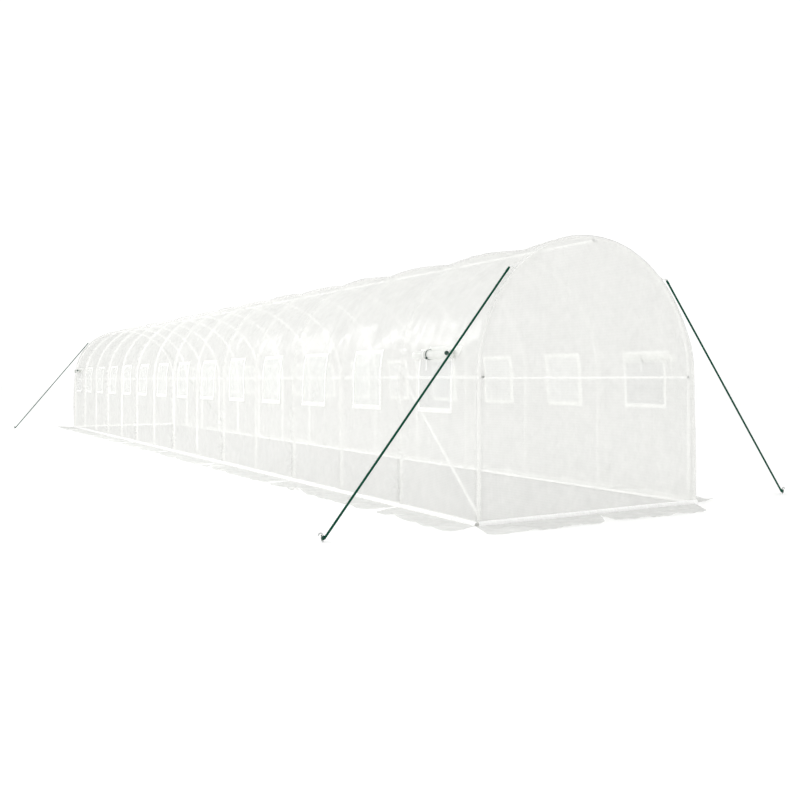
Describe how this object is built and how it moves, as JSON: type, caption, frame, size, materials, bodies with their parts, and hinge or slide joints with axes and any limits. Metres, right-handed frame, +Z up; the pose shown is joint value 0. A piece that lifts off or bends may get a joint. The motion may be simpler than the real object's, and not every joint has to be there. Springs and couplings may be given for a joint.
{
  "type": "polytunnel greenhouse",
  "caption": "Long walk-in polytunnel: round-topped tube hoops under a translucent white sheet cover with side windows, ground skirts and corner guy ropes.",
  "frame": {"origin": "on the ground, at the middle of the tunnel's plan", "axes": "+Z up, Y along the tunnel with the front end at -Y, X across it"},
  "size_m": [4.347, 14.7116, 1.9958],
  "materials": {
    "frame_tube": "white powder-coated steel tube",
    "dark_plug": "dark moulded plug",
    "cover_sheet": "milky translucent polyethylene sheet with a woven grid",
    "insect_mesh": "fine white plastic netting",
    "guy_rope": "dark green braided rope",
    "white_tape": "white woven tape and cord",
    "peg_steel": "grey bare steel rod"
  },
  "bodies": {
    "root": {"front_hoop": "frame_tube", "hoop_2": "frame_tube", "hoop_3": "frame_tube", "hoop_4": "frame_tube", "hoop_5": "frame_tube", "hoop_6": "frame_tube", "hoop_7": "frame_tube", "hoop_8": "frame_tube", "hoop_9": "frame_tube", "hoop_10": "frame_tube", "hoop_11": "frame_tube", "hoop_12": "frame_tube", "hoop_13": "frame_tube", "hoop_14": "frame_tube", "back_hoop": "frame_tube", "ridge_bar": "frame_tube", "left_side_bar": "frame_tube", "right_side_bar": "frame_tube", "bar_end_plugs": "dark_plug", "left_base_rail": "frame_tube", "right_base_rail": "frame_tube", "front_base_rail": "frame_tube", "back_base_rail": "frame_tube", "left_front_brace": "frame_tube", "left_wall_cover": "cover_sheet", "right_wall_cover": "cover_sheet", "roof_cover": "cover_sheet", "front_end_cover": "cover_sheet", "back_end_cover": "cover_sheet", "left_skirt": "cover_sheet", "right_skirt": "cover_sheet", "front_skirt": "cover_sheet", "back_skirt": "cover_sheet", "left_window_mesh": "insect_mesh", "right_window_mesh": "insect_mesh", "left_window_flaps": "cover_sheet", "right_window_flaps": "cover_sheet", "rolled_window_flaps": "cover_sheet", "left_front_rope": "guy_rope", "right_front_rope": "guy_rope", "left_back_rope": "guy_rope", "right_back_rope": "guy_rope", "rope_loops": "white_tape", "ground_pegs": "peg_steel"}
  },
  "joints": []
}
